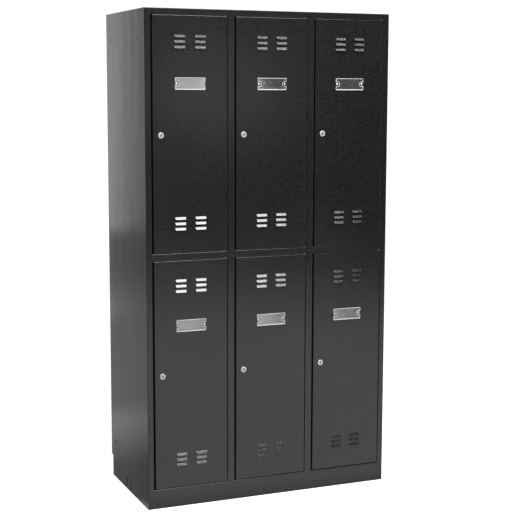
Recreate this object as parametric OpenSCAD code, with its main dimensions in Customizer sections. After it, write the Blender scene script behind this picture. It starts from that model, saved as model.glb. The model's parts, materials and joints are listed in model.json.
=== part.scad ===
// Steel locker cabinet: three columns and two tiers of compartments behind inset doors.
// Lengths are in millimetres. The origin is on the floor under the middle of the carcass,
// and the doors face -Y. Each door is drawn from its own front left bottom corner.

/* [Cabinet] */
// Width over the side panels
cabinet_w = 900; // [780:10:1200]
// Height from the floor to the top
cabinet_h = 1690; // [1400:10:2000]
// Depth from the face of the front frame to the back
cabinet_d = 450; // [350:10:600]
// Thickness of the carcass sheet
sheet_t = 1; // [0.8:0.1:1.5]
// Width of the flange at the back edge of each side panel
side_flange_w = 16; // [12:1:30]
// Depth of the cut-out for a skirting board, at the foot of the back
skirting_d = 18; // [10:1:40]
// Height of the cut-out for a skirting board
skirting_h = 77; // [70:1:78]

/* [Front frame] */
// Width of the face of each outer stile
stile_w = 20; // [16:1:40]
// Width of the face of each mullion
mullion_w = 25; // [18:1:50]
// Height of the face of the top rail
top_rail_h = 20; // [16:1:50]
// Height of the face of each middle rail
middle_rail_h = 23; // [16:1:50]
// Height of the plinth
plinth_h = 67; // [64:1:69]
// How far the frame turns back along the sides, the top and the floor
frame_return_d = 15; // [8:1:18]
// Inside radius of every bend in the sheet
bend_r = 0.6; // [0.3:0.1:1.5]
// Width of the stop lip behind the doors
lip_w = 14; // [10:1:18]

/* [Doors] */
// Gap between a door and the frame at its lock edge
lock_gap = 6; // [3:0.5:8]
// Gap between a door and the frame at its hinge edge
hinge_gap = 2; // [1.8:0.1:4]
// Gap between a door and the frame at its top and bottom
end_gap = 2; // [1.5:0.1:4]
// Gap between the back of a door and the stop lip
stop_gap = 1.5; // [1.2:0.1:3]
// Thickness of the door sheet
door_t = 1; // [0.8:0.1:1.2]
// Depth of a door over its folded edges
door_d = 18; // [15:1:25]
// Width of the flange at the back of a door's edges
door_return_w = 12; // [10:1:16]
// Width of a stiffener over its brims
stiffener_w = 28; // [22:1:30]
// Width of the raised crown of a stiffener
stiffener_crown_w = 13; // [10:1:16]
// Depth of a stiffener behind the door sheet
stiffener_d = 13; // [8:0.5:13]
// Distance from a stiffener to each end flange of its door
stiffener_end_gap = 8; // [4:1:40]

/* [Hinges] */
// Diameter of a hinge pin
pin_dia = 4; // [3:0.1:4.4]
// Length of a hinge pin inside its door
pin_reach = 7; // [4:1:12]
// Diameter of a pin's head
pin_head_dia = 5.6; // [5:0.1:6]
// Height of a pin's head
pin_head_h = 2; // [1:0.5:3]
// Radial clearance of everything that turns
running_gap = 0.05; // [0.02:0.01:0.1]
// Clearance between parts that rest or close on each other
seat_gap = 0.3; // [0.2:0.1:0.5]
// Outer diameter of the plastic washer under each door
washer_dia = 6.6; // [5.6:0.1:7.6]
// Diameter of a door buffer
buffer_dia = 7; // [4:0.5:7.5]
// Distance from each end of an opening to its door buffer
buffer_end_gap = 120; // [40:5:240]

/* [Louvres] */
// Width of a louvre
louvre_w = 37; // [30:1:42]
// Height of a louvre
louvre_h = 8.2; // [8:0.2:13]
// How far a louvre's lip stands out of the door
louvre_proud = 5.2; // [4:0.2:8]
// Distance from one row of louvres to the next
louvre_pitch = 18; // [15:0.5:24]
// Distance between the middles of the two louvre columns
louvre_columns = 72; // [72:1:90]
// Rows in each group of louvres
louvre_rows = 3; // [1:1:5]
// Distance from a door's top to the middle of its upper louvres
louvre_top = 86; // [60:1:110]
// Distance from a door's bottom to the middle of its lower louvres
louvre_bottom = 98; // [60:1:130]
// Radius of the corners of a louvre's lip
louvre_corner_r = 2.6; // [2:0.1:4]

/* [Label holder] */
// Width of the label holder
label_w = 106; // [80:1:130]
// Height of the label holder
label_h = 40.5; // [30:0.5:60]
// How far the label holder stands out of the door
label_proud = 3; // [2.4:0.1:5]
// Wall of the label holder
label_wall = 1.6; // [0.8:0.1:2]
// Lower wall of the label holder, which the card stands on
label_sill = 3.2; // [1.5:0.1:4]
// Thickness of the label holder's ears and of its window
label_t = 0.9; // [0.6:0.1:1.2]
// How far the label holder's rim stands out past its window
label_rim_h = 0.8; // [0.4:0.1:0.8]
// Distance from a door's top to the middle of its label holder
label_top = 223; // [170:1:300]
// Radius of the notch round each rivet
label_notch_r = 8; // [7:0.1:10]
// Distance from the holder's end to a rivet
rivet_inset = 5.3; // [4.5:0.1:7.5]
// Diameter of a rivet's shank
rivet_dia = 3.2; // [2.4:0.1:4]
// Diameter of a rivet's head
rivet_head_dia = 6.4; // [5.2:0.1:7]
// Height of a rivet's head
rivet_head_h = 1.5; // [1:0.1:2]

/* [Lock] */
// Distance from a door's lock edge to the lock's axis
lock_x = 28; // [24:0.5:40]
// Diameter of the lock's collar on the face of the door
lock_collar_dia = 20; // [19:0.5:26]
// How far the collar stands out of the door
lock_proud = 2.5; // [1.5:0.1:4]
// Diameter of the lock's threaded body
lock_body_dia = 16; // [15:0.5:18]
// Diameter of the plug that the key turns
plug_dia = 11; // [10:0.5:12]
// How far the plug lies back from the collar's face
plug_recess = 0.5; // [0.2:0.1:1]
// Width of the key slot
key_slot_w = 2.4; // [1.6:0.1:3]
// Height of the key slot
key_slot_h = 8; // [6:0.5:9]
// Depth of the key slot
key_slot_d = 10; // [4:1:14]
// Size across the flats of the lock's nut
nut_flats = 22; // [21:0.5:26]
// Thickness of the lock's nut
nut_h = 4; // [3:0.5:6]
// Width of the cam
cam_w = 14; // [10:0.5:16]
// Thickness of the cam
cam_t = 2; // [1.5:0.1:3]
// How far a closed cam reaches behind the stop lip
cam_overlap = 8; // [4:0.5:9]
// Gap between a closed cam and the back of the stop lip
cam_gap = 1; // [0.6:0.1:2]
// Side of the square tail that carries the cam
tail_w = 6; // [5:0.5:7]
// Diameter of the cam screw's head
screw_head_dia = 8; // [7:0.5:10]
// Height of the cam screw's head
screw_head_h = 2.5; // [1.5:0.5:3]

/* [Joining holes] */
// Diameter of the holes that bolt one cabinet to the next
join_hole_dia = 6.5; // [4:0.5:10]
// Distance between the joining holes from front to back
join_spacing_y = 315; // [200:5:330]
// Distance from the top of the cabinet to the upper joining holes
join_top = 92; // [60:1:160]
// Height of the lower joining holes
join_low_z = 138; // [110:1:200]
// Distance from the front to the nearest joining holes
join_front_y = 75; // [40:1:100]
// Diameter of the pilot hole between the lower joining holes
pilot_hole_dia = 4; // [3:0.5:6]
// Distance from the front to the pilot hole
pilot_y = 215; // [150:1:300]
// Height of the pilot hole
pilot_z = 151; // [110:1:200]
// Width of each slot in the foot of a side panel
foot_slot_w = 7; // [4:0.5:12]
// Length of each slot in the foot of a side panel
foot_slot_h = 36; // [20:1:40]
// Height of the middle of the slots
foot_slot_z = 30; // [24:1:36]
// Distance from the front to the first slot
foot_slot_y = 205; // [120:1:250]
// Distance between the two slots
foot_slot_pitch = 46; // [20:1:60]

/* [Inside] */
// Depth of the flanges of a shelf, the top and the rear plinth
flange_w = 14; // [8:1:18]
// Diameter of the wire of a coat hook
hook_wire_dia = 5; // [4:0.5:7]
// Radius of a coat hook's bend
hook_r = 14; // [10:1:20]
// Length of a coat hook's straight stem
hook_stem = 22; // [16:1:40]
// Side of a coat hook's square plate
hook_plate_w = 26; // [16:1:40]
// Thickness of a coat hook's plate
hook_plate_t = 2; // [1.5:0.5:4]
// Back rivets on each side flange
back_rivets = 6; // [3:1:10]
// Distance from the ends of the back panel to its nearest rivets
back_rivet_end = 50; // [30:5:100]

/* [Hidden] */
$fn = 48;
eps = 0.5;
COLUMNS = ["left", "center", "right"];
TIERS = ["lower", "upper"];
CARCASS = ["side_panel_left", "side_panel_right", "back_panel", "top_panel", "floor_panel",
    "partition_left", "partition_right", "shelf_left", "shelf_center", "shelf_right",
    "stile_left", "stile_right", "mullion_left", "mullion_right", "top_rail", "middle_rails",
    "plinth", "rear_plinth", "hinge_pins", "hinge_washers", "door_buffers", "coat_hooks",
    "back_rivets"];
DOOR_PARTS = ["door", "stiffener", "lock_body", "lock_plug", "label_holder", "label_rivets"];

front_y = -cabinet_d / 2;
back_y = cabinet_d / 2;
outer_bend_r = bend_r + sheet_t;
opening_w = (cabinet_w - 2 * stile_w - 2 * mullion_w) / 3;
opening_h = (cabinet_h - plinth_h - middle_rail_h - top_rail_h) / 2;
rebate_d = door_d + stop_gap;
inside_y = front_y + rebate_d + sheet_t;
back_panel_y = back_y - 2 * sheet_t;
foot_back_y = back_y - skirting_d;
floor_z = skirting_h + sheet_t;

door_w = opening_w - lock_gap - hinge_gap;
door_h = opening_h - 2 * end_gap;
outer_door_r = bend_r + door_t;
pin_r = pin_dia / 2;
pin_head_gap = 0.1;
pin_inset = outer_bend_r + pin_head_dia / 2 + pin_head_gap;
pin_x = opening_w - hinge_gap - pin_inset;
lock_z = door_h / 2;
label_z = door_h - label_top;
rivet_x = label_w / 2 - rivet_inset;
cam_y = rebate_d + sheet_t + cam_gap;
cam_reach = lock_gap + lock_x - lip_w + cam_overlap;
thread_gap = 0.1;
screw_dia = 3;
screw_reach = 5;
rivet_tail_h = 1.4;
rivet_tail_dia = 4.6;

FRAME_COLOR = [0.16, 0.165, 0.17];
PANEL_COLOR = [0.22, 0.225, 0.23];
DOOR_COLOR = [0.13, 0.135, 0.14];
STEEL_COLOR = [0.78, 0.79, 0.8];
CLEAR_COLOR = [0.85, 0.88, 0.9, 0.5];
RUBBER_COLOR = [0.08, 0.08, 0.08];
NYLON_COLOR = [0.9, 0.9, 0.88];

function door_node(part, t, c) = str(part, "_", TIERS[t], "_", COLUMNS[c]);
function column_x(c) = -cabinet_w / 2 + stile_w + c * (opening_w + mullion_w);
function tier_z(t) = plinth_h + t * (opening_h + middle_rail_h);
function upright_left(c) = c == 0 ? -cabinet_w / 2 : column_x(c - 1) + opening_w;
function upright_right(c) = c == 3 ? cabinet_w / 2 : column_x(c);
function partition_x(i) = column_x(i) + opening_w + mullion_w / 2;
function inside_left(c) = c == 0 ? -cabinet_w / 2 + sheet_t : partition_x(c - 1) + sheet_t / 2;
function inside_right(c) = c == 2 ? cabinet_w / 2 - sheet_t : partition_x(c) - sheet_t / 2;
function ceiling_z(t) = t == 1 ? cabinet_h - sheet_t : tier_z(1) - sheet_t;

// A box from its lowest to its highest corner.
module box(low, high) {
    translate(low) cube(high - low);
}

// Runs a section along X: its first axis becomes Z and its second stays Y.
module along_x(length) {
    translate([length, 0, 0]) rotate([0, -90, 0]) linear_extrude(length) children();
}

// Turns a shape drawn along +Z so that it points back along +Y.
module pointing_back() {
    rotate([-90, 0, 0]) children();
}

// A rectangle with its two front corners rounded, such as a sheet folded back at both edges.
module folded_2d(width, depth, r) {
    translate([0, r]) square([width, depth - r]);
    translate([r, 0]) square([width - 2 * r, depth]);
    translate([r, r]) circle(r);
    translate([width - r, r]) circle(r);
}

// A block with rounded front edges.
module folded_block(width, height, depth, r) {
    intersection() {
        linear_extrude(height) folded_2d(width, depth, r);
        along_x(width) folded_2d(height, depth, r);
    }
}

// ---- Front frame: folded lengths that are welded edge to edge into one flush face ----

// The edge of a folded face: a bend at x = 0 and a web behind it, with the face towards -x.
module folded_edge_2d(depth) {
    translate([-outer_bend_r, outer_bend_r]) intersection() {
        difference() {
            circle(outer_bend_r);
            circle(bend_r);
        }
        translate([0, -outer_bend_r]) square(outer_bend_r);
    }
    translate([-sheet_t, outer_bend_r]) square([sheet_t, depth - outer_bend_r]);
}

// Section of a member whose face runs from x = 0 to its width. A depth of 0 leaves an edge flat.
module member_2d(width, left_depth, right_depth) {
    left = left_depth > 0 ? outer_bend_r : 0;
    right = right_depth > 0 ? outer_bend_r : 0;
    translate([left, 0]) square([width - left - right, sheet_t]);
    if (left_depth > 0) mirror([1, 0]) folded_edge_2d(left_depth);
    if (right_depth > 0) translate([width, 0]) folded_edge_2d(right_depth);
}

// The stop lip at the back of a web whose outer face is at x = 0.
module lip_2d() {
    translate([-sheet_t, rebate_d]) square([lip_w + sheet_t, sheet_t]);
}

// An upright from the plinth to the top rail. At a side of the cabinet it turns back along
// the side panel, and at an opening it carries a stop lip.
module upright(x0, width, left_opens, right_opens) {
    left_depth = left_opens ? rebate_d : frame_return_d;
    right_depth = right_opens ? rebate_d : frame_return_d;
    color(FRAME_COLOR) translate([x0, front_y, 0]) {
        for (t = [0, 1]) translate([0, 0, tier_z(t)]) linear_extrude(opening_h) {
            member_2d(width, left_depth, right_depth);
            if (left_opens) mirror([1, 0]) lip_2d();
            if (right_opens) translate([width, 0]) lip_2d();
        }
        translate([0, 0, tier_z(0) + opening_h]) linear_extrude(middle_rail_h)
            member_2d(width, left_opens ? 0 : left_depth, right_opens ? 0 : right_depth);
    }
}

module mullion(i) {
    upright(column_x(i) + opening_w, mullion_w, true, true);
}

// The length of a rail that spans one opening. Its stop lips fit between those of the uprights.
module rail_length(height, lower_depth, upper_depth, lip_below, lip_above) {
    along_x(opening_w) member_2d(height, lower_depth, upper_depth);
    translate([lip_w, 0, 0]) along_x(opening_w - 2 * lip_w) {
        if (lip_below) mirror([1, 0]) lip_2d();
        if (lip_above) translate([height, 0]) lip_2d();
    }
}

// The whole face with its edges turned back, before the openings are made.
module frame_blank() {
    difference() {
        translate([-cabinet_w / 2, front_y, 0])
            folded_block(cabinet_w, cabinet_h, frame_return_d, outer_bend_r);
        translate([-cabinet_w / 2 + sheet_t, front_y + sheet_t, sheet_t])
            folded_block(cabinet_w - 2 * sheet_t, cabinet_h - 2 * sheet_t, frame_return_d, bend_r);
    }
}

// The parts of the blank in front of the uprights, between the heights z0 and z1.
module blank_between_openings(z0, z1) {
    intersection() {
        frame_blank();
        for (c = [0 : 3]) {
            left = upright_left(c) - (c == 0 ? eps : 0);
            right = upright_right(c) + (c == 3 ? eps : 0);
            box([left, front_y - eps, z0], [right, inside_y, z1]);
        }
    }
}

module pin_places() {
    for (t = [0, 1]) for (c = [0 : 2]) translate([column_x(c) + pin_x, front_y + pin_inset, tier_z(t)]) {
        mirror([0, 0, 1]) children();
        translate([0, 0, opening_h]) children();
    }
}

module pin_holes() {
    pin_places() cylinder(r = pin_r + running_gap, h = 4 * sheet_t, center = true);
}

module top_rail() {
    z0 = cabinet_h - top_rail_h;
    color(FRAME_COLOR) difference() {
        union() {
            blank_between_openings(z0, cabinet_h + eps);
            for (c = [0 : 2]) translate([column_x(c), front_y, z0])
                rail_length(top_rail_h, rebate_d, frame_return_d, true, false);
        }
        pin_holes();
    }
}

module middle_rails() {
    color(FRAME_COLOR) difference() {
        for (c = [0 : 2]) translate([column_x(c), front_y, tier_z(0) + opening_h])
            rail_length(middle_rail_h, rebate_d, rebate_d, true, true);
        pin_holes();
    }
}

// The plinth's top flange runs on under the uprights and closes their lower ends.
module plinth() {
    color(FRAME_COLOR) difference() {
        union() {
            blank_between_openings(-eps, plinth_h);
            for (c = [0 : 3])
                box([max(upright_left(c), sheet_t - cabinet_w / 2), front_y + sheet_t, plinth_h - sheet_t],
                    [min(upright_right(c), cabinet_w / 2 - sheet_t), front_y + rebate_d, plinth_h]);
            for (c = [0 : 2]) translate([column_x(c), front_y, 0])
                rail_length(plinth_h, frame_return_d, rebate_d, false, true);
        }
        pin_holes();
    }
}

// ---- Carcass ----

// Section of the left side panel, from the frame's return to its back flange.
module side_2d() {
    depth = cabinet_d - frame_return_d;
    square([sheet_t, depth - outer_bend_r]);
    translate([outer_bend_r, depth - sheet_t]) square([side_flange_w - outer_bend_r, sheet_t]);
    translate([outer_bend_r, depth - outer_bend_r]) intersection() {
        difference() {
            circle(outer_bend_r);
            circle(bend_r);
        }
        translate([-outer_bend_r, 0]) square(outer_bend_r);
    }
}

module side_hole(y, z, dia) {
    translate([-cabinet_w / 2 + sheet_t / 2, front_y + y, z]) rotate([0, 90, 0])
        cylinder(d = dia, h = 3 * sheet_t, center = true);
}

module foot_slot(y) {
    half = foot_slot_h / 2 - foot_slot_w / 2;
    side_hole(y, foot_slot_z - half, foot_slot_w);
    side_hole(y, foot_slot_z + half, foot_slot_w);
    box([-cabinet_w / 2 - sheet_t, front_y + y - foot_slot_w / 2, foot_slot_z - half],
        [-cabinet_w / 2 + 2 * sheet_t, front_y + y + foot_slot_w / 2, foot_slot_z + half]);
}

module side_panel() {
    color(PANEL_COLOR) difference() {
        translate([-cabinet_w / 2, front_y + frame_return_d, 0])
            linear_extrude(cabinet_h - sheet_t) side_2d();
        box([-cabinet_w / 2 - eps, foot_back_y, -eps],
            [-cabinet_w / 2 + side_flange_w + eps, back_y + eps, skirting_h]);
        for (y = [0, join_spacing_y]) for (z = [join_low_z, cabinet_h - join_top])
            side_hole(join_front_y + y, z, join_hole_dia);
        side_hole(pilot_y, pilot_z, pilot_hole_dia);
        foot_slot(foot_slot_y);
        foot_slot(foot_slot_y + foot_slot_pitch);
        back_rivet_places() back_rivet_hole();
    }
}

module back_panel() {
    color(PANEL_COLOR) difference() {
        box([outer_bend_r - cabinet_w / 2, back_panel_y, skirting_h],
            [cabinet_w / 2 - outer_bend_r, back_y - sheet_t, cabinet_h - sheet_t]);
        back_rivet_places() back_rivet_hole();
    }
}

module top_panel() {
    color(PANEL_COLOR) {
        box([-cabinet_w / 2, front_y + frame_return_d, cabinet_h - sheet_t],
            [cabinet_w / 2, back_y, cabinet_h]);
        box([-cabinet_w / 2 + side_flange_w, back_y - sheet_t, cabinet_h - sheet_t - flange_w],
            [cabinet_w / 2 - side_flange_w, back_y, cabinet_h - sheet_t]);
    }
}

// The floor lies level with the top of the skirting cut-outs and meets the stop lips.
module floor_panel() {
    color(PANEL_COLOR) box([-cabinet_w / 2 + sheet_t, inside_y, skirting_h],
        [cabinet_w / 2 - sheet_t, back_panel_y, floor_z]);
}

module partition(i) {
    color(PANEL_COLOR) box([partition_x(i) - sheet_t / 2, front_y + outer_bend_r, floor_z],
        [partition_x(i) + sheet_t / 2, back_panel_y, cabinet_h - sheet_t]);
}

// A shelf is a tray turned upside down: flat on top, with flanges at both sides and the back.
module shelf(c) {
    z = tier_z(1);
    color(PANEL_COLOR) difference() {
        box([inside_left(c), inside_y, z - flange_w], [inside_right(c), back_panel_y, z]);
        box([inside_left(c) + sheet_t, inside_y - eps, z - flange_w - eps],
            [inside_right(c) - sheet_t, back_panel_y - sheet_t, z - sheet_t]);
    }
}

module rear_plinth() {
    left = -cabinet_w / 2 + sheet_t;
    right = cabinet_w / 2 - sheet_t;
    color(PANEL_COLOR) {
        box([left, foot_back_y - sheet_t, 0], [right, foot_back_y, skirting_h]);
        box([left, foot_back_y - flange_w, 0], [right, foot_back_y, sheet_t]);
    }
}

// ---- Small parts of the carcass ----

// Each door hangs between two pins. A pin's head bears on the rail behind its hole.
module hinge_pin() {
    translate([0, 0, -end_gap - pin_reach]) cylinder(r = pin_r, h = end_gap + pin_reach + sheet_t + eps);
    translate([0, 0, sheet_t]) cylinder(d = pin_head_dia, h = pin_head_h);
}

module hinge_pins() {
    color(STEEL_COLOR) pin_places() hinge_pin();
}

module hinge_washers() {
    color(NYLON_COLOR) for (t = [0, 1]) for (c = [0 : 2])
        translate([column_x(c) + pin_x, front_y + pin_inset, tier_z(t)]) difference() {
            cylinder(d = washer_dia, h = end_gap - seat_gap);
            translate([0, 0, -eps]) cylinder(r = pin_r + running_gap, h = end_gap + 2 * eps);
        }
}

// Rubber studs on the stop lip, where the back flange of a closed door meets it.
module door_buffers() {
    buffer_h = stop_gap - seat_gap;
    chamfer = buffer_h / 2;
    buffer_x = (lock_gap + lip_w) / 2;
    color(RUBBER_COLOR) for (t = [0, 1]) for (c = [0 : 2]) for (z = [buffer_end_gap, opening_h - buffer_end_gap])
        translate([column_x(c) + buffer_x, front_y + rebate_d, tier_z(t) + z]) rotate([90, 0, 0]) {
            cylinder(d = buffer_dia, h = buffer_h - chamfer);
            translate([0, 0, buffer_h - chamfer])
                cylinder(d1 = buffer_dia, d2 = buffer_dia - 2 * chamfer, h = chamfer);
        }
}

// A double hook: two bent wires on a square plate, welded under the ceiling of a compartment.
module coat_hook() {
    tip_h = hook_wire_dia;
    stem_x = hook_wire_dia / 2 + 1;
    translate([0, 0, -hook_plate_t / 2]) cube([hook_plate_w, hook_plate_w, hook_plate_t], center = true);
    for (side = [0, 1]) mirror([side, 0, 0]) translate([stem_x, 0, -hook_stem]) {
        cylinder(d = hook_wire_dia, h = hook_stem - hook_plate_t / 2);
        translate([hook_r, 0, 0]) rotate([-90, 0, 0]) rotate_extrude(angle = 180)
            translate([hook_r, 0]) circle(d = hook_wire_dia);
        translate([2 * hook_r, 0, 0]) cylinder(d = hook_wire_dia, h = tip_h);
        translate([2 * hook_r, 0, tip_h]) sphere(d = 1.3 * hook_wire_dia);
    }
}

module coat_hooks() {
    color(STEEL_COLOR) for (t = [0, 1]) for (c = [0 : 2])
        translate([(inside_left(c) + inside_right(c)) / 2, 0, ceiling_z(t)]) coat_hook();
}

module back_rivet_places() {
    low = skirting_h + back_rivet_end;
    step = (cabinet_h - low - back_rivet_end) / (back_rivets - 1);
    for (side = [-1, 1]) for (i = [0 : back_rivets - 1])
        translate([side * (cabinet_w / 2 - side_flange_w / 2), back_y, low + i * step]) children();
}

module back_rivet_hole() {
    rotate([90, 0, 0]) cylinder(d = rivet_dia + 2 * running_gap, h = 6 * sheet_t, center = true);
}

// A blind rivet: a domed head on the face at Z = 0, and a tail behind a grip of the given depth.
module rivet(grip) {
    sphere_r = (pow(rivet_head_dia / 2, 2) + pow(rivet_head_h, 2)) / (2 * rivet_head_h);
    intersection() {
        translate([0, 0, rivet_head_h - sphere_r]) sphere(sphere_r);
        cylinder(d = rivet_head_dia + eps, h = rivet_head_h + eps);
    }
    translate([0, 0, -grip - rivet_tail_h / 2]) cylinder(d = rivet_dia, h = grip + rivet_tail_h / 2 + eps);
    translate([0, 0, -grip - rivet_tail_h]) cylinder(d = rivet_tail_dia, h = rivet_tail_h);
}

module back_rivets() {
    color(STEEL_COLOR) back_rivet_places() pointing_back() rivet(2 * sheet_t);
}

// ---- Door ----

// Side section of a louvre's outside: x runs up it and -y runs out of the door.
module hood_2d() {
    polygon([[0, door_t / 2], [0, -louvre_proud], [louvre_h, 0], [louvre_h, door_t / 2]]);
}

// Side section of the air under a louvre, one sheet inside the hood and through the door.
module hood_air_2d() {
    slope_l = norm([louvre_proud, louvre_h]);
    lip = louvre_proud - door_t * slope_l / louvre_h;
    back = door_t + eps;
    top = (lip + back) * louvre_h / louvre_proud;
    polygon([[0, back], [0, -lip], [top, back]]);
}

// Plan of a louvre with the corners of its lip rounded.
module hood_plan_2d(inset) {
    half = louvre_w / 2 - inset;
    proud = louvre_proud - inset;
    r = louvre_corner_r - inset;
    depth = proud + 2 * door_t;
    translate([-half, r - proud]) square([2 * half, depth - r]);
    translate([r - half, -proud]) square([2 * (half - r), depth]);
    for (side = [-1, 1]) translate([side * (half - r), r - proud]) circle(r);
}

// Cuts a side section, run along X, to the plan. The louvre's mouth is at Z = 0.
module louvre_form(inset) {
    intersection() {
        translate([-louvre_w / 2, 0, 0]) along_x(louvre_w) children();
        translate([0, 0, -eps]) linear_extrude(louvre_h + 2 * eps) hood_plan_2d(inset);
    }
}

module louvre_places() {
    for (z = [louvre_bottom, door_h - louvre_top]) for (side = [-1, 1]) for (row = [0 : louvre_rows - 1])
        translate([door_w / 2 + side * louvre_columns / 2, 0,
            z + (row - (louvre_rows - 1) / 2) * louvre_pitch - louvre_h / 2]) children();
}

// A tray of folded sheet, open at the back inside its flanges, with its louvres pressed outwards.
module door() {
    color(DOOR_COLOR) difference() {
        union() {
            folded_block(door_w, door_h, door_d, outer_door_r);
            louvre_places() louvre_form(0) hood_2d();
        }
        translate([door_t, door_t, door_t])
            folded_block(door_w - 2 * door_t, door_h - 2 * door_t, door_d - 2 * door_t, bend_r);
        box([door_return_w, door_d - door_t - eps, door_return_w],
            [door_w - door_return_w, door_d + eps, door_h - door_return_w]);
        louvre_places() louvre_form(door_t) hood_air_2d();
        translate([lock_x, 0, lock_z]) pointing_back()
            cylinder(d = lock_body_dia + 2 * thread_gap, h = 4 * door_t, center = true);
        label_rivet_places() cylinder(d = rivet_dia + 2 * running_gap, h = 4 * door_t, center = true);
        translate([door_w - pin_inset, pin_inset, -eps])
            cylinder(r = pin_r + running_gap, h = door_h + 2 * eps);
    }
}

// A hat section welded to the back of the door's face, between the two louvre columns.
module stiffener() {
    z = door_return_w + stiffener_end_gap;
    half = stiffener_crown_w / 2;
    color(DOOR_COLOR) translate([door_w / 2, door_t, z]) linear_extrude(door_h - 2 * z) {
        for (side = [0, 1]) mirror([side, 0]) {
            translate([half - door_t, 0]) square([(stiffener_w - stiffener_crown_w) / 2 + door_t, door_t]);
            translate([half - door_t, 0]) square([door_t, stiffener_d]);
        }
        translate([-half, stiffener_d - door_t]) square([2 * half, door_t]);
    }
}

// ---- Lock ----

// A round-edged collar on the door's face, a threaded body behind it and a hex nut on the thread.
module lock_body() {
    bore_r = plug_dia / 2 + running_gap;
    collar_r = lock_collar_dia / 2;
    edge_r = lock_proud / 2;
    color(STEEL_COLOR) translate([lock_x, 0, lock_z]) {
        rotate([90, 0, 0]) rotate_extrude() difference() {
            union() {
                square([collar_r, lock_proud - edge_r]);
                square([collar_r - edge_r, lock_proud]);
                translate([collar_r - edge_r, lock_proud - edge_r]) circle(edge_r);
            }
            translate([0, -edge_r]) square([bore_r, lock_proud + 2 * edge_r]);
            translate([0, -lock_proud]) square([collar_r + eps, lock_proud]);
        }
        pointing_back() difference() {
            cylinder(d = lock_body_dia, h = cam_y - seat_gap);
            translate([0, 0, -eps]) cylinder(r = bore_r, h = cam_y + 2 * eps);
        }
        pointing_back() translate([0, 0, door_t]) difference() {
            cylinder(d = 2 * nut_flats / sqrt(3), h = nut_h, $fn = 6);
            translate([0, 0, -eps]) cylinder(d = lock_body_dia + 2 * running_gap, h = nut_h + 2 * eps);
        }
    }
}

module cam_2d() {
    difference() {
        union() {
            circle(d = cam_w + 2);
            translate([-cam_w / 2, -cam_reach]) square([cam_w, cam_reach]);
        }
        square(tail_w + 2 * running_gap, center = true);
    }
}

// The plug with its key slot, the cam on its square tail and the screw that holds the cam.
module lock_plug() {
    front = lock_proud - plug_recess;
    cam_front = cam_y + running_gap;
    head_front = cam_front + cam_t + running_gap;
    color(STEEL_COLOR) translate([lock_x, 0, lock_z]) {
        difference() {
            pointing_back() {
                translate([0, 0, -front]) cylinder(d = plug_dia, h = front + cam_y);
                translate([-tail_w / 2, -tail_w / 2, cam_y - eps]) cube([tail_w, tail_w, cam_t + eps]);
            }
            box([-key_slot_w / 2, -front - eps, -key_slot_h / 2],
                [key_slot_w / 2, key_slot_d - front, key_slot_h / 2]);
            pointing_back() translate([0, 0, head_front - screw_reach - eps])
                cylinder(d = screw_dia + 2 * running_gap, h = screw_reach + 2 * eps);
        }
        translate([0, cam_front + cam_t, 0]) rotate([90, 0, 0]) linear_extrude(cam_t) cam_2d();
        pointing_back() translate([0, 0, head_front]) {
            cylinder(d = screw_head_dia, h = screw_head_h);
            translate([0, 0, -screw_reach]) cylinder(d = screw_dia, h = screw_reach + eps);
        }
    }
}

// ---- Label holder ----

module rounded_2d(width, height, r) {
    translate([-width / 2, r - height / 2]) square([width, height - 2 * r]);
    translate([r - width / 2, -height / 2]) square([width - 2 * r, height]);
    for (x = [-1, 1]) for (y = [-1, 1])
        translate([x * (width / 2 - r), y * (height / 2 - r)]) circle(r);
}

module notches_2d(grow) {
    for (side = [-1, 1]) translate([side * rivet_x, 0]) circle(label_notch_r + grow);
}

// The window inside the rim, which is wider along the bottom.
module label_window_2d() {
    difference() {
        translate([0, (label_sill - label_wall) / 2])
            square([label_w - 2 * label_wall, label_h - label_wall - label_sill], center = true);
        notches_2d(label_wall);
    }
}

module label_rivet_places() {
    translate([door_w / 2, 0, label_z]) for (side = [-1, 1])
        translate([side * rivet_x, 0, 0]) rotate([90, 0, 0]) children();
}

// One clear moulding: a raised rim with a window set back in it, over a pocket for the card.
// The rim is notched round two flat ears that take the rivets.
module label_holder() {
    color(CLEAR_COLOR) difference() {
        translate([door_w / 2, 0, label_z]) rotate([90, 0, 0]) difference() {
            union() {
                linear_extrude(label_t) rounded_2d(label_w, label_h, 2);
                linear_extrude(label_proud) difference() {
                    rounded_2d(label_w, label_h, 2);
                    notches_2d(0);
                }
            }
            translate([0, 0, -eps])
                linear_extrude(label_proud - label_rim_h - label_t + eps) label_window_2d();
            translate([0, 0, label_proud - label_rim_h])
                linear_extrude(label_rim_h + eps) label_window_2d();
        }
        label_rivet_places() cylinder(d = rivet_dia + 2 * running_gap, h = 4 * label_t, center = true);
    }
}

module label_rivets() {
    color(STEEL_COLOR) label_rivet_places() translate([0, 0, label_t]) rivet(label_t + door_t);
}

// ---- Assembly ----

// Draws one part of the door of column c and tier t in its place.
module on_door(part, t, c) {
    translate([column_x(c) + lock_gap, front_y, tier_z(t) + end_gap]) {
        if (part == "door") door();
        if (part == "stiffener") stiffener();
        if (part == "lock_body") lock_body();
        if (part == "lock_plug") lock_plug();
        if (part == "label_holder") label_holder();
        if (part == "label_rivets") label_rivets();
    }
}

side_panel();  // side_panel_left
mirror([1, 0, 0]) side_panel();  // side_panel_right
back_panel();
top_panel();
floor_panel();
partition(0);  // partition_left
partition(1);  // partition_right
shelf(0);  // shelf_left
shelf(1);  // shelf_center
shelf(2);  // shelf_right
upright(-cabinet_w / 2, stile_w, false, true);  // stile_left
upright(cabinet_w / 2 - stile_w, stile_w, true, false);  // stile_right
mullion(0);  // mullion_left
mullion(1);  // mullion_right
top_rail();
middle_rails();
plinth();
rear_plinth();
hinge_pins();
hinge_washers();
door_buffers();
coat_hooks();
back_rivets();
for (part = DOOR_PARTS) for (t = [0, 1]) for (c = [0 : 2])
    on_door(part, t, c);
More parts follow.
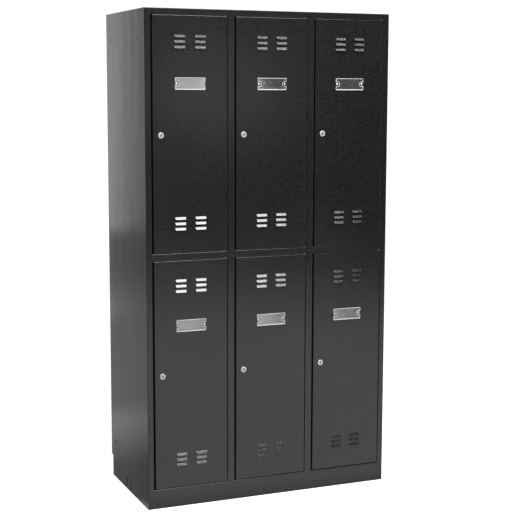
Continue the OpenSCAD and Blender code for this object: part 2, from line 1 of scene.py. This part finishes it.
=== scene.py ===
import json
import math
import bmesh
import bpy
from mathutils import Matrix, Vector


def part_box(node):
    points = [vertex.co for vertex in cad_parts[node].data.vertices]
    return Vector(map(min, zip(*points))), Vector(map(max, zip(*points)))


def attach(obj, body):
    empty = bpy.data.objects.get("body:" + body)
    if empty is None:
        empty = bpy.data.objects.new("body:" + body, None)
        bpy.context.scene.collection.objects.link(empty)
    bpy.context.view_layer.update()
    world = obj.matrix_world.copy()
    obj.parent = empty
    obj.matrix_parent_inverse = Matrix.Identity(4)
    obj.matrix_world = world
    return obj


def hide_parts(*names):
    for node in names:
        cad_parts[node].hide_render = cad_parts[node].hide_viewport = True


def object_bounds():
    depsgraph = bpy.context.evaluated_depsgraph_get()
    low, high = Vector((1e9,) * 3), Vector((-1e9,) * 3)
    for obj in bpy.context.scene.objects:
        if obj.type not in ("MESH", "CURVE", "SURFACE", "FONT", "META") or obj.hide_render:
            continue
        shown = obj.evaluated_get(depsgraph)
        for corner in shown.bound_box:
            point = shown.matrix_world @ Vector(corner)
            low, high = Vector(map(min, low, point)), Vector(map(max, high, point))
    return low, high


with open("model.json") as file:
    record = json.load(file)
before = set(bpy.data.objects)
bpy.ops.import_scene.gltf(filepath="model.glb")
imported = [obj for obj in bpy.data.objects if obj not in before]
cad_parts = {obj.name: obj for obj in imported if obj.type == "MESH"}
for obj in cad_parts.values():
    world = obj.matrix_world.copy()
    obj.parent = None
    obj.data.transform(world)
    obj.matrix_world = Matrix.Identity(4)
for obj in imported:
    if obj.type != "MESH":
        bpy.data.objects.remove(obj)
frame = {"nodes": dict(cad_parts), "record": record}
cad_box = [list(corner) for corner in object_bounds()]
nodes = frame["nodes"]

# ---- Camera: eye height, to the left of the cabinet ----
# A long lens a little over four metres away, so the doors and the left side both show. It looks
# down by less than eight degrees, so the uprights stay nearly parallel.
EYE = Vector((-1.6784, -4.1156, 1.4211))
YAW, PITCH, ROLL = 0.39530, 0.13290, 0.0022
FOCAL_MM, FILM_MM = 86.73, 36.0
FARTHEST = 60.0

ahead = Vector((math.sin(YAW) * math.cos(PITCH), math.cos(YAW) * math.cos(PITCH), -math.sin(PITCH)))
level_right = Vector((math.cos(YAW), -math.sin(YAW), 0.0))
level_up = level_right.cross(ahead)
camera_right = math.cos(ROLL) * level_right + math.sin(ROLL) * level_up
camera_up = math.cos(ROLL) * level_up - math.sin(ROLL) * level_right
facing = Matrix((camera_right, camera_up, -ahead)).transposed().to_4x4()

camera_data = bpy.data.cameras.new("camera")
camera_data.sensor_width = FILM_MM
camera_data.lens = FOCAL_MM
camera_data.clip_end = FARTHEST
camera = bpy.data.objects.new("camera", camera_data)
camera.matrix_world = Matrix.Translation(EYE) @ facing
bpy.context.scene.collection.objects.link(camera)
bpy.context.scene.camera = camera
bpy.context.scene.view_settings.view_transform = "Standard"

# ---- Studio floor ----
# A smooth matt board, almost white to the eye, with a faint shadow round the cabinet's foot. The gloss
# paint mirrors a glow instead: bright in front of the doors, with bands far off, and dimmer behind and
# far to the right.
FLOOR_RADIUS, FLOOR_SEGMENTS = 4.6, 96
WHITE = (1, 1, 1, 1)
BOARD_GREY = (0.35, 0.35, 0.35, 1)
BOARD_GLOW, PLAIN_GLOW = 0.94, 0.95
SHEET_INSET, SKIRTING_INSET = 0.004, 0.03
BAND_TURNS = (13.4, 5.0, 0.0)
BAND_CREST = (0.79, -3.34, 0.0)
BACK_SLANT = (1.0, 0.3, 0.0)


def emptied(owner):
    """Clears the node tree of a material or a world and returns it."""
    owner.use_nodes = True
    owner.node_tree.nodes.clear()
    return owner.node_tree


def feed(tree, socket, value):
    """Links another node's output to a socket, or sets the socket to a plain value."""
    if isinstance(value, bpy.types.NodeSocket):
        tree.links.new(value, socket)
    else:
        socket.default_value = value


def add_node(tree, kind, *values, operation=None):
    """Adds a shader node, sets its operation and feeds its first sockets in their order."""
    added = tree.nodes.new("ShaderNode" + kind)
    if operation:
        added.operation = operation
    for socket, value in zip(added.inputs, values):
        feed(tree, socket, value)
    return added


def compute(tree, operation, *values):
    """The result of one operation on numbers."""
    return add_node(tree, "Math", *values, operation=operation).outputs["Value"]


def ramp(tree, value, span, levels):
    """Maps a value's span onto two levels, and keeps to the nearer level outside the span."""
    return add_node(tree, "MapRange", value, *span, *levels).outputs["Result"]


def object_place(tree):
    """Where a point lies on the object, in the cabinet's own coordinates."""
    return add_node(tree, "TexCoord").outputs["Object"]


def choose_for_eye(tree, mirrored, seen, output):
    """Shows one shader to the eye, and another one to what mirrors it or is lit by it."""
    straight_on = add_node(tree, "LightPath").outputs["Is Camera Ray"]
    choice = add_node(tree, "MixShader", straight_on, mirrored, seen)
    feed(tree, output.inputs["Surface"], choice.outputs["Shader"])


def glow_in_front(tree, place, x, y):
    """The glow before the doors: it has bands, ends at the cabinet's left side and fades on its right."""
    turns = add_node(tree, "VectorMath", place, BAND_TURNS, operation="DOT_PRODUCT").outputs["Value"]
    turns_at_crest = sum(turn * along for turn, along in zip(BAND_TURNS, BAND_CREST))
    wave = compute(tree, "COSINE", compute(tree, "ADD", turns, -turns_at_crest))
    crest = ramp(tree, y, (-2.9, -2.1), (2.0, PLAIN_GLOW))
    bands = ramp(tree, wave, (0.3, 1.0), (PLAIN_GLOW, crest))
    up_to_doors = ramp(tree, y, (-0.35, 0.0), (1.4, 0.0))
    on_the_right = ramp(tree, x, (1.5, 3.0), (1.0, 0.3))
    across = ramp(tree, x, (-0.5, -0.45), (0.0, on_the_right))
    return compute(tree, "MULTIPLY", compute(tree, "MULTIPLY", up_to_doors, bands), across)


def glow_behind(tree, place, y):
    """The glow beside and behind the cabinet, which the left side mirrors."""
    farther_back = ramp(tree, y, (0.95, 1.15), (0.78, 0.48))
    backwards = ramp(tree, y, (0.3, 0.95), (0.27, farther_back))
    slanting = add_node(tree, "VectorMath", place, BACK_SLANT, operation="DOT_PRODUCT").outputs["Value"]
    sideways = ramp(tree, slanting, (-0.55, -0.36), (0.8, 1.1))
    return compute(tree, "MULTIPLY", backwards, sideways)


def board_light(tree, place):
    """The board's own light, which stops where the cabinet stands on it."""
    folded = add_node(tree, "VectorMath", place, operation="ABSOLUTE").outputs["Vector"]
    half = add_node(tree, "SeparateXYZ", folded).outputs
    within_sides = compute(tree, "LESS_THAN", half["X"], cad_box[1][0] - SHEET_INSET)
    within_skirting = compute(tree, "LESS_THAN", half["Y"], cad_box[1][1] - SKIRTING_INSET)
    under_cabinet = compute(tree, "MULTIPLY", within_sides, within_skirting)
    return ramp(tree, under_cabinet, (0.0, 1.0), (BOARD_GLOW, 0.0))


def studio_board():
    """The material of the floor."""
    material = bpy.data.materials.new("studio_board")
    tree = emptied(material)
    place = object_place(tree)
    split = add_node(tree, "SeparateXYZ", place).outputs
    board = add_node(tree, "BsdfPrincipled")
    feed(tree, board.inputs["Base Color"], BOARD_GREY)
    feed(tree, board.inputs["Roughness"], 1.0)
    feed(tree, board.inputs["Specular IOR Level"], 0.0)
    feed(tree, board.inputs["Emission Color"], WHITE)
    feed(tree, board.inputs["Emission Strength"], board_light(tree, place))
    in_front = glow_in_front(tree, place, split["X"], split["Y"])
    behind = glow_behind(tree, place, split["Y"])
    glow = add_node(tree, "Emission", WHITE, compute(tree, "MAXIMUM", in_front, behind))
    output = add_node(tree, "OutputMaterial")
    choose_for_eye(tree, glow.outputs["Emission"], board.outputs["BSDF"], output)
    return material


bm = bmesh.new()
bmesh.ops.create_circle(bm, cap_ends=True, segments=FLOOR_SEGMENTS, radius=FLOOR_RADIUS)
floor_mesh = bpy.data.meshes.new("studio_floor")
bm.to_mesh(floor_mesh)
bm.free()
floor_mesh.materials.append(studio_board())
studio_floor = bpy.data.objects.new("studio_floor", floor_mesh)
bpy.context.scene.collection.objects.link(studio_floor)

# ---- Studio room ----
# A plain white room to the eye. The gloss paint mirrors a grey one: darkest in front, on the right,
# lightest behind, and darker below the horizon than above it.
ROOM_WHITE = 1.1


def room_grey(tree, direction):
    """The grey of the room in each direction."""
    split = add_node(tree, "SeparateXYZ", direction).outputs
    in_front = ramp(tree, split["X"], (0.2, 0.5), (0.2, 0.03))
    behind = ramp(tree, split["X"], (-0.38, -0.18), (0.3, 0.55))
    above = ramp(tree, split["Y"], (-0.5, 0.6), (in_front, behind))
    dimmed = ramp(tree, split["Y"], (-0.5, 0.5), (0.36, 0.62))
    below = compute(tree, "MULTIPLY", above, dimmed)
    return ramp(tree, split["Z"], (-0.13, -0.05), (below, above))


room = bpy.data.worlds.new("studio_room")
bpy.context.scene.world = room
room_tree = emptied(room)
direction = add_node(room_tree, "TexCoord").outputs["Generated"]
white_room = add_node(room_tree, "Background", WHITE, ROOM_WHITE)
grey_room = add_node(room_tree, "Background")
feed(room_tree, grey_room.inputs["Strength"], room_grey(room_tree, direction))
room_output = add_node(room_tree, "OutputWorld")
choose_for_eye(room_tree, grey_room.outputs["Background"], white_room.outputs["Background"], room_output)

# ---- Studio lamps ----
# Soft boxes. The hoods of the louvres mirror the one under the ceiling, the doors and the left side
# mirror the small ones in front and behind, and the bends at the doors' right edges the one on the right.
CEILING = 3.4


def soft_lamp(name, position, aim, width, height, radiance):
    """A rectangular lamp at a position, facing a point, with the same radiance over its whole face."""
    data = bpy.data.lights.new(name, "AREA")
    data.shape = "RECTANGLE"
    data.size = width
    data.size_y = height
    data.energy = radiance * width * height * math.pi
    lamp = bpy.data.objects.new(name, data)
    towards = (Vector(aim) - Vector(position)).normalized()
    turned = towards.to_track_quat("-Z", "Y").to_matrix().to_4x4()
    lamp.matrix_world = Matrix.Translation(position) @ turned
    bpy.context.scene.collection.objects.link(lamp)


soft_lamp("ceiling_lamp", (0.155, -2.07, CEILING), (0.155, -2.07, 0.0), 2.45, 1.86, 25.0)
soft_lamp("side_lamp", (1.235, -4.1, 1.42), (0.0, -0.225, 1.42), 0.65, 0.26, 3.4)
soft_lamp("back_lamp", (-0.59, 0.95, 1.39), (-0.59, 0.0, 1.39), 0.32, 1.12, 0.76)
soft_lamp("low_back_lamp", (-0.56, 0.95, 0.64), (-0.56, 0.0, 0.64), 0.24, 0.38, 0.28)
soft_lamp("right_lamp", (2.9, -1.5, 1.1), (0.15, -0.225, 1.1), 0.9, 2.0, 5.0)

# ---- Powder coat, shared by every painted sheet ----
# A fine textured black polyester powder baked on the steel: tiny even bumps with lighter specks, and
# a slightly uneven gloss. The sheet below it has soft waves, long and upright.
POWDER_BLACK = (0.0052, 0.0053, 0.0055, 1)
POWDER_GLOSS_LOW, POWDER_GLOSS_HIGH = 0.17, 0.23
POWDER_BUMP, POWDER_DEPTH = 0.3, 0.0004
GRAIN_PER_METRE, PEEL_PER_METRE, CLOUDS_PER_METRE = 900.0, 190.0, 3.5
WAVES_PER_METRE = (11.0, 11.0, 1.3)


def noise(tree, where, scale, detail=2.0, roughness=0.5):
    """Smooth noise over a place, mostly between 0.3 and 0.7."""
    texture = add_node(tree, "TexNoise", where)
    feed(tree, texture.inputs["Scale"], scale)
    feed(tree, texture.inputs["Detail"], detail)
    feed(tree, texture.inputs["Roughness"], roughness)
    return texture.outputs["Fac"]


def build_powder_coat():
    """The node group that every painted sheet uses, with its own tint, gloss and waviness."""
    group = bpy.data.node_groups.new("powder_coat", "ShaderNodeTree")
    for name, kind in (("Tint", "Color"), ("Gloss Low", "Float"), ("Gloss High", "Float"),
                       ("Waviness", "Float")):
        group.interface.new_socket(name, in_out="INPUT", socket_type="NodeSocket" + kind)
    for name, kind in (("Color", "Color"), ("Roughness", "Float"), ("Height", "Float")):
        group.interface.new_socket(name, in_out="OUTPUT", socket_type="NodeSocket" + kind)
    given = group.nodes.new("NodeGroupInput").outputs
    result = group.nodes.new("NodeGroupOutput").inputs
    where = object_place(group)

    grain = noise(group, where, GRAIN_PER_METRE, roughness=0.6)
    orange_peel = noise(group, where, PEEL_PER_METRE, detail=1.0)
    stretch = add_node(group, "Mapping", where)
    feed(group, stretch.inputs["Scale"], WAVES_PER_METRE)
    waves = noise(group, stretch.outputs["Vector"], 1.0)
    bumps = compute(group, "ADD", orange_peel, grain)
    feed(group, result["Height"], compute(group, "MULTIPLY_ADD", waves, given["Waviness"], bumps))

    clouds = noise(group, where, CLOUDS_PER_METRE, detail=4.0)
    gloss = ramp(group, clouds, (0.3, 0.7), (given["Gloss Low"], given["Gloss High"]))
    feed(group, result["Roughness"], gloss)

    specks = add_node(group, "VectorMath", given["Tint"], operation="SCALE")
    feed(group, specks.inputs["Scale"], ramp(group, orange_peel, (0.42, 0.68), (0.7, 1.65)))
    feed(group, result["Color"], specks.outputs["Vector"])
    return group


powder_coat = build_powder_coat()


def raise_surface(tree, shader, height, strength, depth):
    """Lets a height show as bumps on a shader's surface."""
    relief = add_node(tree, "Bump")
    feed(tree, relief.inputs["Strength"], strength)
    feed(tree, relief.inputs["Distance"], depth)
    feed(tree, relief.inputs["Height"], height)
    feed(tree, shader.inputs["Normal"], relief.outputs["Normal"])


def painted_sheet(name, waviness):
    """Black powder coat on a sheet that is more or less wavy."""
    material = bpy.data.materials.new(name)
    tree = emptied(material)
    coat = add_node(tree, "Group")
    coat.node_tree = powder_coat
    feed(tree, coat.inputs["Tint"], POWDER_BLACK)
    feed(tree, coat.inputs["Gloss Low"], POWDER_GLOSS_LOW)
    feed(tree, coat.inputs["Gloss High"], POWDER_GLOSS_HIGH)
    feed(tree, coat.inputs["Waviness"], waviness)
    shader = add_node(tree, "BsdfPrincipled")
    feed(tree, shader.inputs["Base Color"], coat.outputs["Color"])
    feed(tree, shader.inputs["Roughness"], coat.outputs["Roughness"])
    raise_surface(tree, shader, coat.outputs["Height"], POWDER_BUMP, POWDER_DEPTH)
    add_node(tree, "OutputMaterial", shader.outputs["BSDF"])
    return material


# ---- Front frame ----
# Stiles, mullions, top rail, middle rails and plinth, folded from 1 mm steel and spot welded into one
# frame. The same black powder as the rest covers them, with its fine grain showing on every fold.
FRAME_WAVINESS = 1.5


def finish(names, material):
    """Gives CAD nodes their finish."""
    for name in names:
        slots = nodes[name].data.materials
        slots.clear()
        slots.append(material)


frame_paint = painted_sheet("frame_powder_coat", FRAME_WAVINESS)
finish(["stile_left", "stile_right", "mullion_left", "mullion_right",
        "top_rail", "middle_rails", "plinth"], frame_paint)

# ---- Back, top, floor, partitions, shelves and rear plinth ----
# Thin steel sheets with folded edges, welded or riveted to one another and to the front frame.
# Large sheets are never quite flat, so they are a little wavier than the frame.
PANEL_WAVINESS = 4.0
panel_paint = painted_sheet("panel_powder_coat", PANEL_WAVINESS)
finish(["back_panel", "top_panel", "floor_panel", "partition_left", "partition_right",
        "shelf_left", "shelf_center", "shelf_right", "rear_plinth"], panel_paint)

# ---- Side panels ----
# One tall sheet on each side, spot welded to the stile in front and riveted to the back panel behind.
# Its long soft waves show most at a flat angle. The powder is dull round the punched joining holes,
# where a neighbouring cabinet is bolted on.
SIDE_WAVINESS = 6.0
DULL_POWDER = 0.95
DULL_RING = (1.25, 1.6)


def dull_round_holes(material, holes):
    """Makes the powder dull in a narrow ring round each hole of a pattern of four."""
    tree = material.node_tree
    coat = tree.nodes["Group"]
    shader = tree.nodes["Principled BSDF"]
    sizes = holes["dims"]
    middle = Vector(holes["pos_m"])
    hole = Vector((0.0, sizes["spacing_x_mm"], sizes["spacing_y_mm"])) / 1000 / 2
    ring = [sizes["hole_r_mm"] / 1000 * ratio for ratio in DULL_RING]
    along_sheet = (0.0, 1.0, 1.0)
    to_middle = (0.0, -middle.y, -middle.z)
    centred = add_node(tree, "VectorMath", object_place(tree), along_sheet, to_middle,
                       operation="MULTIPLY_ADD")
    folded = add_node(tree, "VectorMath", centred.outputs["Vector"], operation="ABSOLUTE")
    from_hole = add_node(tree, "VectorMath", folded.outputs["Vector"], hole, operation="DISTANCE")
    dull = ramp(tree, from_hole.outputs["Value"], ring, (DULL_POWDER, coat.outputs["Roughness"]))
    feed(tree, shader.inputs["Roughness"], dull)


mounts = {mount["name"]: mount for mount in frame["record"]["mounts"]}
side_paint = painted_sheet("side_powder_coat", SIDE_WAVINESS)
dull_round_holes(side_paint, mounts["joining_holes_left"])
finish(["side_panel_left", "side_panel_right"], side_paint)

# ---- Doors and their stiffeners ----
# Shallow folded trays with pressed louvres, and a hat section spot welded down the back of each.
# Both are powder coated together, so the grain and the gloss are the same on the two.
COLUMNS = ["left", "center", "right"]
TIERS = ["lower", "upper"]
DOORS = [tier + "_" + column for tier in TIERS for column in COLUMNS]
door_paint = painted_sheet("door_powder_coat", FRAME_WAVINESS)
finish([part + "_" + door for part in ("door", "stiffener") for door in DOORS], door_paint)

# ---- Locks ----
# A die-cast cylinder lock held by a hex nut behind the door. The body is dull chrome, and the
# plug with its key slot, cam and screw is a plain metal that turns inside it; its darker tone is painted
# shade.
LOCK_SPREAD = 0.06


def plain_finish(name, colour, metallic, roughness, spread=0.08, grain_per_metre=300.0, detail=2.0,
                 bump=0.1, depth=0.0002, transmission=0.0, ior=1.5):
    """A finish of one colour, with a fine grain that varies its gloss and its surface."""
    material = bpy.data.materials.new(name)
    tree = emptied(material)
    grain = noise(tree, object_place(tree), grain_per_metre, detail)
    shader = add_node(tree, "BsdfPrincipled")
    feed(tree, shader.inputs["Base Color"], (*colour, 1))
    feed(tree, shader.inputs["Metallic"], metallic)
    feed(tree, shader.inputs["Transmission Weight"], transmission)
    feed(tree, shader.inputs["IOR"], ior)
    gloss = ramp(tree, grain, (0.0, 1.0), (roughness - spread, roughness + spread))
    feed(tree, shader.inputs["Roughness"], gloss)
    raise_surface(tree, shader, grain, bump, depth)
    add_node(tree, "OutputMaterial", shader.outputs["BSDF"])
    return material


lock_chrome = plain_finish("lock_chrome", (0.43, 0.43, 0.435), metallic=0.6, roughness=0.42,
                           spread=LOCK_SPREAD)
finish(["lock_body_" + door for door in DOORS], lock_chrome)
# The plug is its own metal part, but its darker copy of the body's metal is painted shade that deepens
# the key slot.
painted_shade_plug_metal = plain_finish("lock_plug_painted_shade", (0.26, 0.26, 0.265), metallic=0.6, roughness=0.4,
                          spread=LOCK_SPREAD)
finish(["lock_plug_" + door for door in DOORS], painted_shade_plug_metal)

# ---- Label holders ----
# Each is one moulding of clear plastic: a raised rim round a thin window, with a pocket behind it for
# a paper card. The rim curves in round the two rivets and is wider along the bottom, under the card.
RIM_WALL, RIM_SILL = 0.0016, 0.0032
RIM_CORNER, RIM_CORNER_STEPS = 0.002, 5
RIM_ROUNDING = 0.0004
NOTCH_RADIUS, NOTCH_STEPS = 0.008, 14
RIVET_INSET = 0.0053
EAR_SEGMENTS = 32
WINDOW_SET_BACK = 0.0008
SHEET_OF_PLASTIC = 0.0009
SQUARE_EDGE, SOFT_EDGE = math.radians(60), math.radians(30)
MERGE_WITHIN = 1e-6


def finished_piece(name, bm, material, body):
    """Makes an object from a bmesh, with its place in its mesh, and lets it ride on a body."""
    bmesh.ops.recalc_face_normals(bm, faces=bm.faces)
    mesh = bpy.data.meshes.new(name)
    bm.to_mesh(mesh)
    bm.free()
    mesh.shade_smooth()
    mesh.set_sharp_from_angle(angle=SOFT_EDGE)
    mesh.materials.append(material)
    piece = bpy.data.objects.new(name, mesh)
    bpy.context.scene.collection.objects.link(piece)
    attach(piece, body)
    return piece


def swept_on(bm, vert, centre, degrees, steps):
    """Swings a vertex about a centre in the XZ plane and returns the vertex at the end of the arc."""
    swept = bmesh.ops.spin(bm, geom=[vert], cent=centre, axis=(0, 1, 0), angle=math.radians(degrees),
                           steps=steps)
    return swept["geom_last"][0]


def drawn_on(bm, vert, place):
    """Draws an edge from a vertex to a place and returns the vertex there."""
    reached = bmesh.ops.extrude_vert_indiv(bm, verts=[vert])["verts"][0]
    reached.co = place
    return reached


def pulled_out(bm, distance):
    """Pulls all faces out along the depth, with walls between where they were and where they are."""
    pulled = bmesh.ops.extrude_face_region(bm, geom=bm.faces[:])["geom"]
    corners = [part for part in pulled if isinstance(part, bmesh.types.BMVert)]
    bmesh.ops.translate(bm, verts=corners, vec=(0, distance, 0))


def put_in_order(bm):
    """Sorts faces by their corners, because pulling faces out adds its walls in any order."""
    bm.verts.index_update()
    in_order = sorted(bm.faces, key=lambda face: sorted(v.index for v in face.verts))
    rank = {face: number for number, face in enumerate(in_order)}
    bm.faces.sort(key=lambda face: rank[face])


def rim_loop(bm, width, height, wall, corner):
    """The holder's outline about the origin, set in by a wall: a rectangle with a notch in each end."""
    end, top, radius = width / 2 - wall, height / 2 - wall, NOTCH_RADIUS + wall
    rivet = Vector((width / 2 - RIVET_INSET, 0, 0))
    mouth = math.degrees(math.acos((end - rivet.x) / radius))
    known = set(bm.verts)
    start = bmesh.ops.create_vert(bm, co=(rivet.x - radius, 0, 0))["vert"][0]
    at = swept_on(bm, start, rivet, 180 - mouth, NOTCH_STEPS)
    at = drawn_on(bm, at, (end, 0, top - corner))
    at = swept_on(bm, at, (end - corner, 0, top - corner), -90, RIM_CORNER_STEPS)
    drawn_on(bm, at, (0, 0, top))
    for axis in ("Z", "X"):
        corners = [v for v in bm.verts if v not in known]
        edges = [e for e in bm.edges if e.verts[0] not in known]
        bmesh.ops.mirror(bm, geom=corners + edges, axis=axis, merge_dist=MERGE_WITHIN)
    return [e for e in bm.edges if e.verts[0] not in known]


def label_rim(place, width, height, depth):
    """The raised rim, from the door's face to the front of the holder, with its edges rounded over."""
    bm = bmesh.new()
    outside = rim_loop(bm, width, height, 0, RIM_CORNER)
    inside = rim_loop(bm, width, height, RIM_WALL, RIM_CORNER / 2)
    sill_top = RIM_WALL + RIM_CORNER / 2 - height / 2
    sill = {v for e in inside for v in e.verts if v.co.z < sill_top + 10 * MERGE_WITHIN}
    bmesh.ops.translate(bm, verts=list(sill), vec=(0, 0, RIM_SILL - RIM_WALL))
    bmesh.ops.bridge_loops(bm, edges=outside + inside)
    pulled_out(bm, -depth)
    bm.normal_update()
    crests = [e for e in bm.edges if all(v.co.y < -depth / 2 for v in e.verts)
              and e.calc_face_angle(0) > SQUARE_EDGE]
    bmesh.ops.bevel(bm, geom=crests, offset=RIM_ROUNDING, offset_type="OFFSET", affect="EDGES",
                    segments=3, profile=0.5, material=-1, clamp_overlap=True)
    bmesh.ops.translate(bm, verts=bm.verts, vec=place)
    return bm


def add_ear(bm, side, width):
    """The flat ear under one rivet: a disc, cut off at the end of the holder."""
    radius = NOTCH_RADIUS + RIM_WALL / 2
    ear = bmesh.ops.create_circle(bm, cap_ends=True, segments=EAR_SEGMENTS, radius=radius)["verts"]
    bmesh.ops.rotate(bm, verts=ear, matrix=Matrix.Rotation(math.pi / 2, 3, "X"))
    bmesh.ops.translate(bm, verts=ear, vec=(side * (width / 2 - RIVET_INSET), -SHEET_OF_PLASTIC, 0))
    disc = list({f for v in ear for f in v.link_faces})
    trim = disc + [e for f in disc for e in f.edges] + ear
    bmesh.ops.bisect_plane(bm, geom=list(dict.fromkeys(trim)), plane_co=(side * width / 2, 0, 0),
                           plane_no=(side, 0, 0), clear_outer=True)


def label_window(place, width, height, front):
    """The window inside the rim and the two ears under the rivets, all of one thickness."""
    bm = bmesh.new()
    bmesh.ops.contextual_create(bm, geom=rim_loop(bm, width, height, RIM_WALL / 2, RIM_CORNER / 2))
    bmesh.ops.translate(bm, verts=bm.verts, vec=(0, front, 0))
    for side in (-1, 1):
        add_ear(bm, side, width)
    bmesh.ops.recalc_face_normals(bm, faces=bm.faces)
    pulled_out(bm, SHEET_OF_PLASTIC)
    put_in_order(bm)
    bmesh.ops.translate(bm, verts=bm.verts, vec=place)
    return bm


clear_plastic = plain_finish("clear_plastic", (0.7, 0.72, 0.73), metallic=0.0, roughness=0.07,
                             spread=0.04, grain_per_metre=11.0, detail=0.0, bump=0.5, depth=0.0022,
                             transmission=0.97, ior=1.7)
# The rim is the same clear plastic as the window, given a whiter, less clear copy of it: painted light
# for the brightness its thick clear edges catch.
painted_lit_rim = plain_finish("clear_plastic_rim_painted_light", (0.62, 0.63, 0.64), metallic=0.0, roughness=0.22,
                        spread=0.06, grain_per_metre=400.0, transmission=0.4)
for door in DOORS:
    near_corner, far_corner = (Vector(corner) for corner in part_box("label_holder_" + door))
    holder = far_corner - near_corner
    middle = (near_corner + far_corner) / 2
    place = (middle.x, far_corner.y, middle.z)
    rim = finished_piece("label_rim_" + door, label_rim(place, holder.x, holder.z, holder.y),
                         painted_lit_rim, "leaf_" + door)
    pane = label_window(place, holder.x, holder.z, WINDOW_SET_BACK - holder.y)
    finished_piece("label_window_" + door, pane, clear_plastic, "leaf_" + door)
    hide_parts("label_holder_" + door)

# ---- Rivets ----
# Blind aluminium rivets: two that hold each label holder to its door, and those that hold the back
# panel to the flanges of the sides. They are left bare.
rivet_aluminium = plain_finish("rivet_aluminium", (0.5, 0.505, 0.51), metallic=1.0, roughness=0.36)
finish(["label_rivets_" + door for door in DOORS] + ["back_rivets"], rivet_aluminium)

# ---- Hinge pins and coat hooks ----
# Headed steel pins standing in the rails above and below each door, and double hooks of bent wire,
# welded under the top of each compartment. Both are bright zinc plated.
zinc_steel = plain_finish("zinc_steel", (0.66, 0.67, 0.68), metallic=1.0, roughness=0.38)
finish(["hinge_pins", "coat_hooks"], zinc_steel)

# ---- Hinge washers ----
# Thin moulded rings, one on the lower pin of each door, which carry the door clear of the rail.
# They are dark nylon with an even satin face.
nylon = plain_finish("nylon", (0.02, 0.02, 0.021), metallic=0.0, roughness=0.5)
finish(["hinge_washers"], nylon)

# ---- Door buffers ----
# Small black rubber studs pushed into the stop lip, where each door would otherwise ring on closing.
# The rubber is matt and slightly grained.
rubber = plain_finish("rubber", (0.02, 0.02, 0.02), metallic=0.0, roughness=0.75)
finish(["door_buffers"], rubber)
